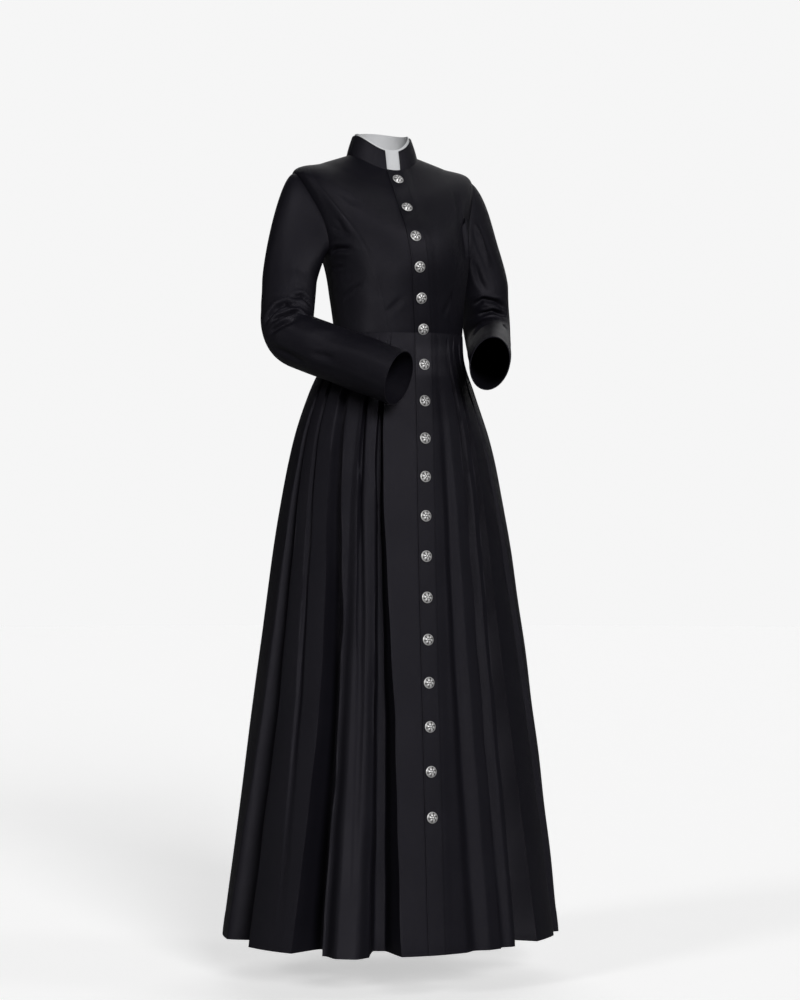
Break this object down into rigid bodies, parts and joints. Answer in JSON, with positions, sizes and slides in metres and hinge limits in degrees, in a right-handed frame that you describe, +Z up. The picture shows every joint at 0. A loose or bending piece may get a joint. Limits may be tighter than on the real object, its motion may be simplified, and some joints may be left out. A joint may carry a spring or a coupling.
{
  "type": "cassock",
  "caption": "Floor-length black cassock with a stand collar and white band, fitted princess bodice, set-in sleeves and a full pleated skirt buttoned down the front.",
  "frame": {"origin": "middle of the neck opening, level with the neck ends of the shoulder seams, where the wearer's neck and shoulders hold the garment up", "axes": "+Z up, the wearer's front towards -Y, the wearer's left towards +X"},
  "size_m": [0.6256, 0.5659, 1.4719],
  "materials": {
    "black_gabardine": "smooth black wool-blend gabardine with a fine twill, matt with a soft sheen on the folds",
    "white_band": "plain white stiffened cotton band, matt",
    "antique_silver": "domed antique silver, worn bright on the raised leaves and dark in the recesses"
  },
  "bodies": {
    "root": {"bodice_back": "black_gabardine", "bodice_front_left": "black_gabardine", "bodice_front_right": "black_gabardine", "bodice_side_front_left": "black_gabardine", "bodice_side_front_right": "black_gabardine", "skirt_front_right": "black_gabardine", "skirt_front_left": "black_gabardine", "skirt_back_right": "black_gabardine", "skirt_back_left": "black_gabardine", "sleeve_right": "black_gabardine", "sleeve_left": "black_gabardine", "collar_stand": "black_gabardine", "collar_band": "white_band", "button_01": "antique_silver", "button_02": "antique_silver", "button_03": "antique_silver", "button_04": "antique_silver", "button_05": "antique_silver", "button_06": "antique_silver", "button_07": "antique_silver", "button_08": "antique_silver", "button_09": "antique_silver", "button_10": "antique_silver", "button_11": "antique_silver", "button_12": "antique_silver", "button_13": "antique_silver", "button_14": "antique_silver", "button_15": "antique_silver", "button_16": "antique_silver", "button_17": "antique_silver", "button_18": "antique_silver"}
  },
  "joints": []
}
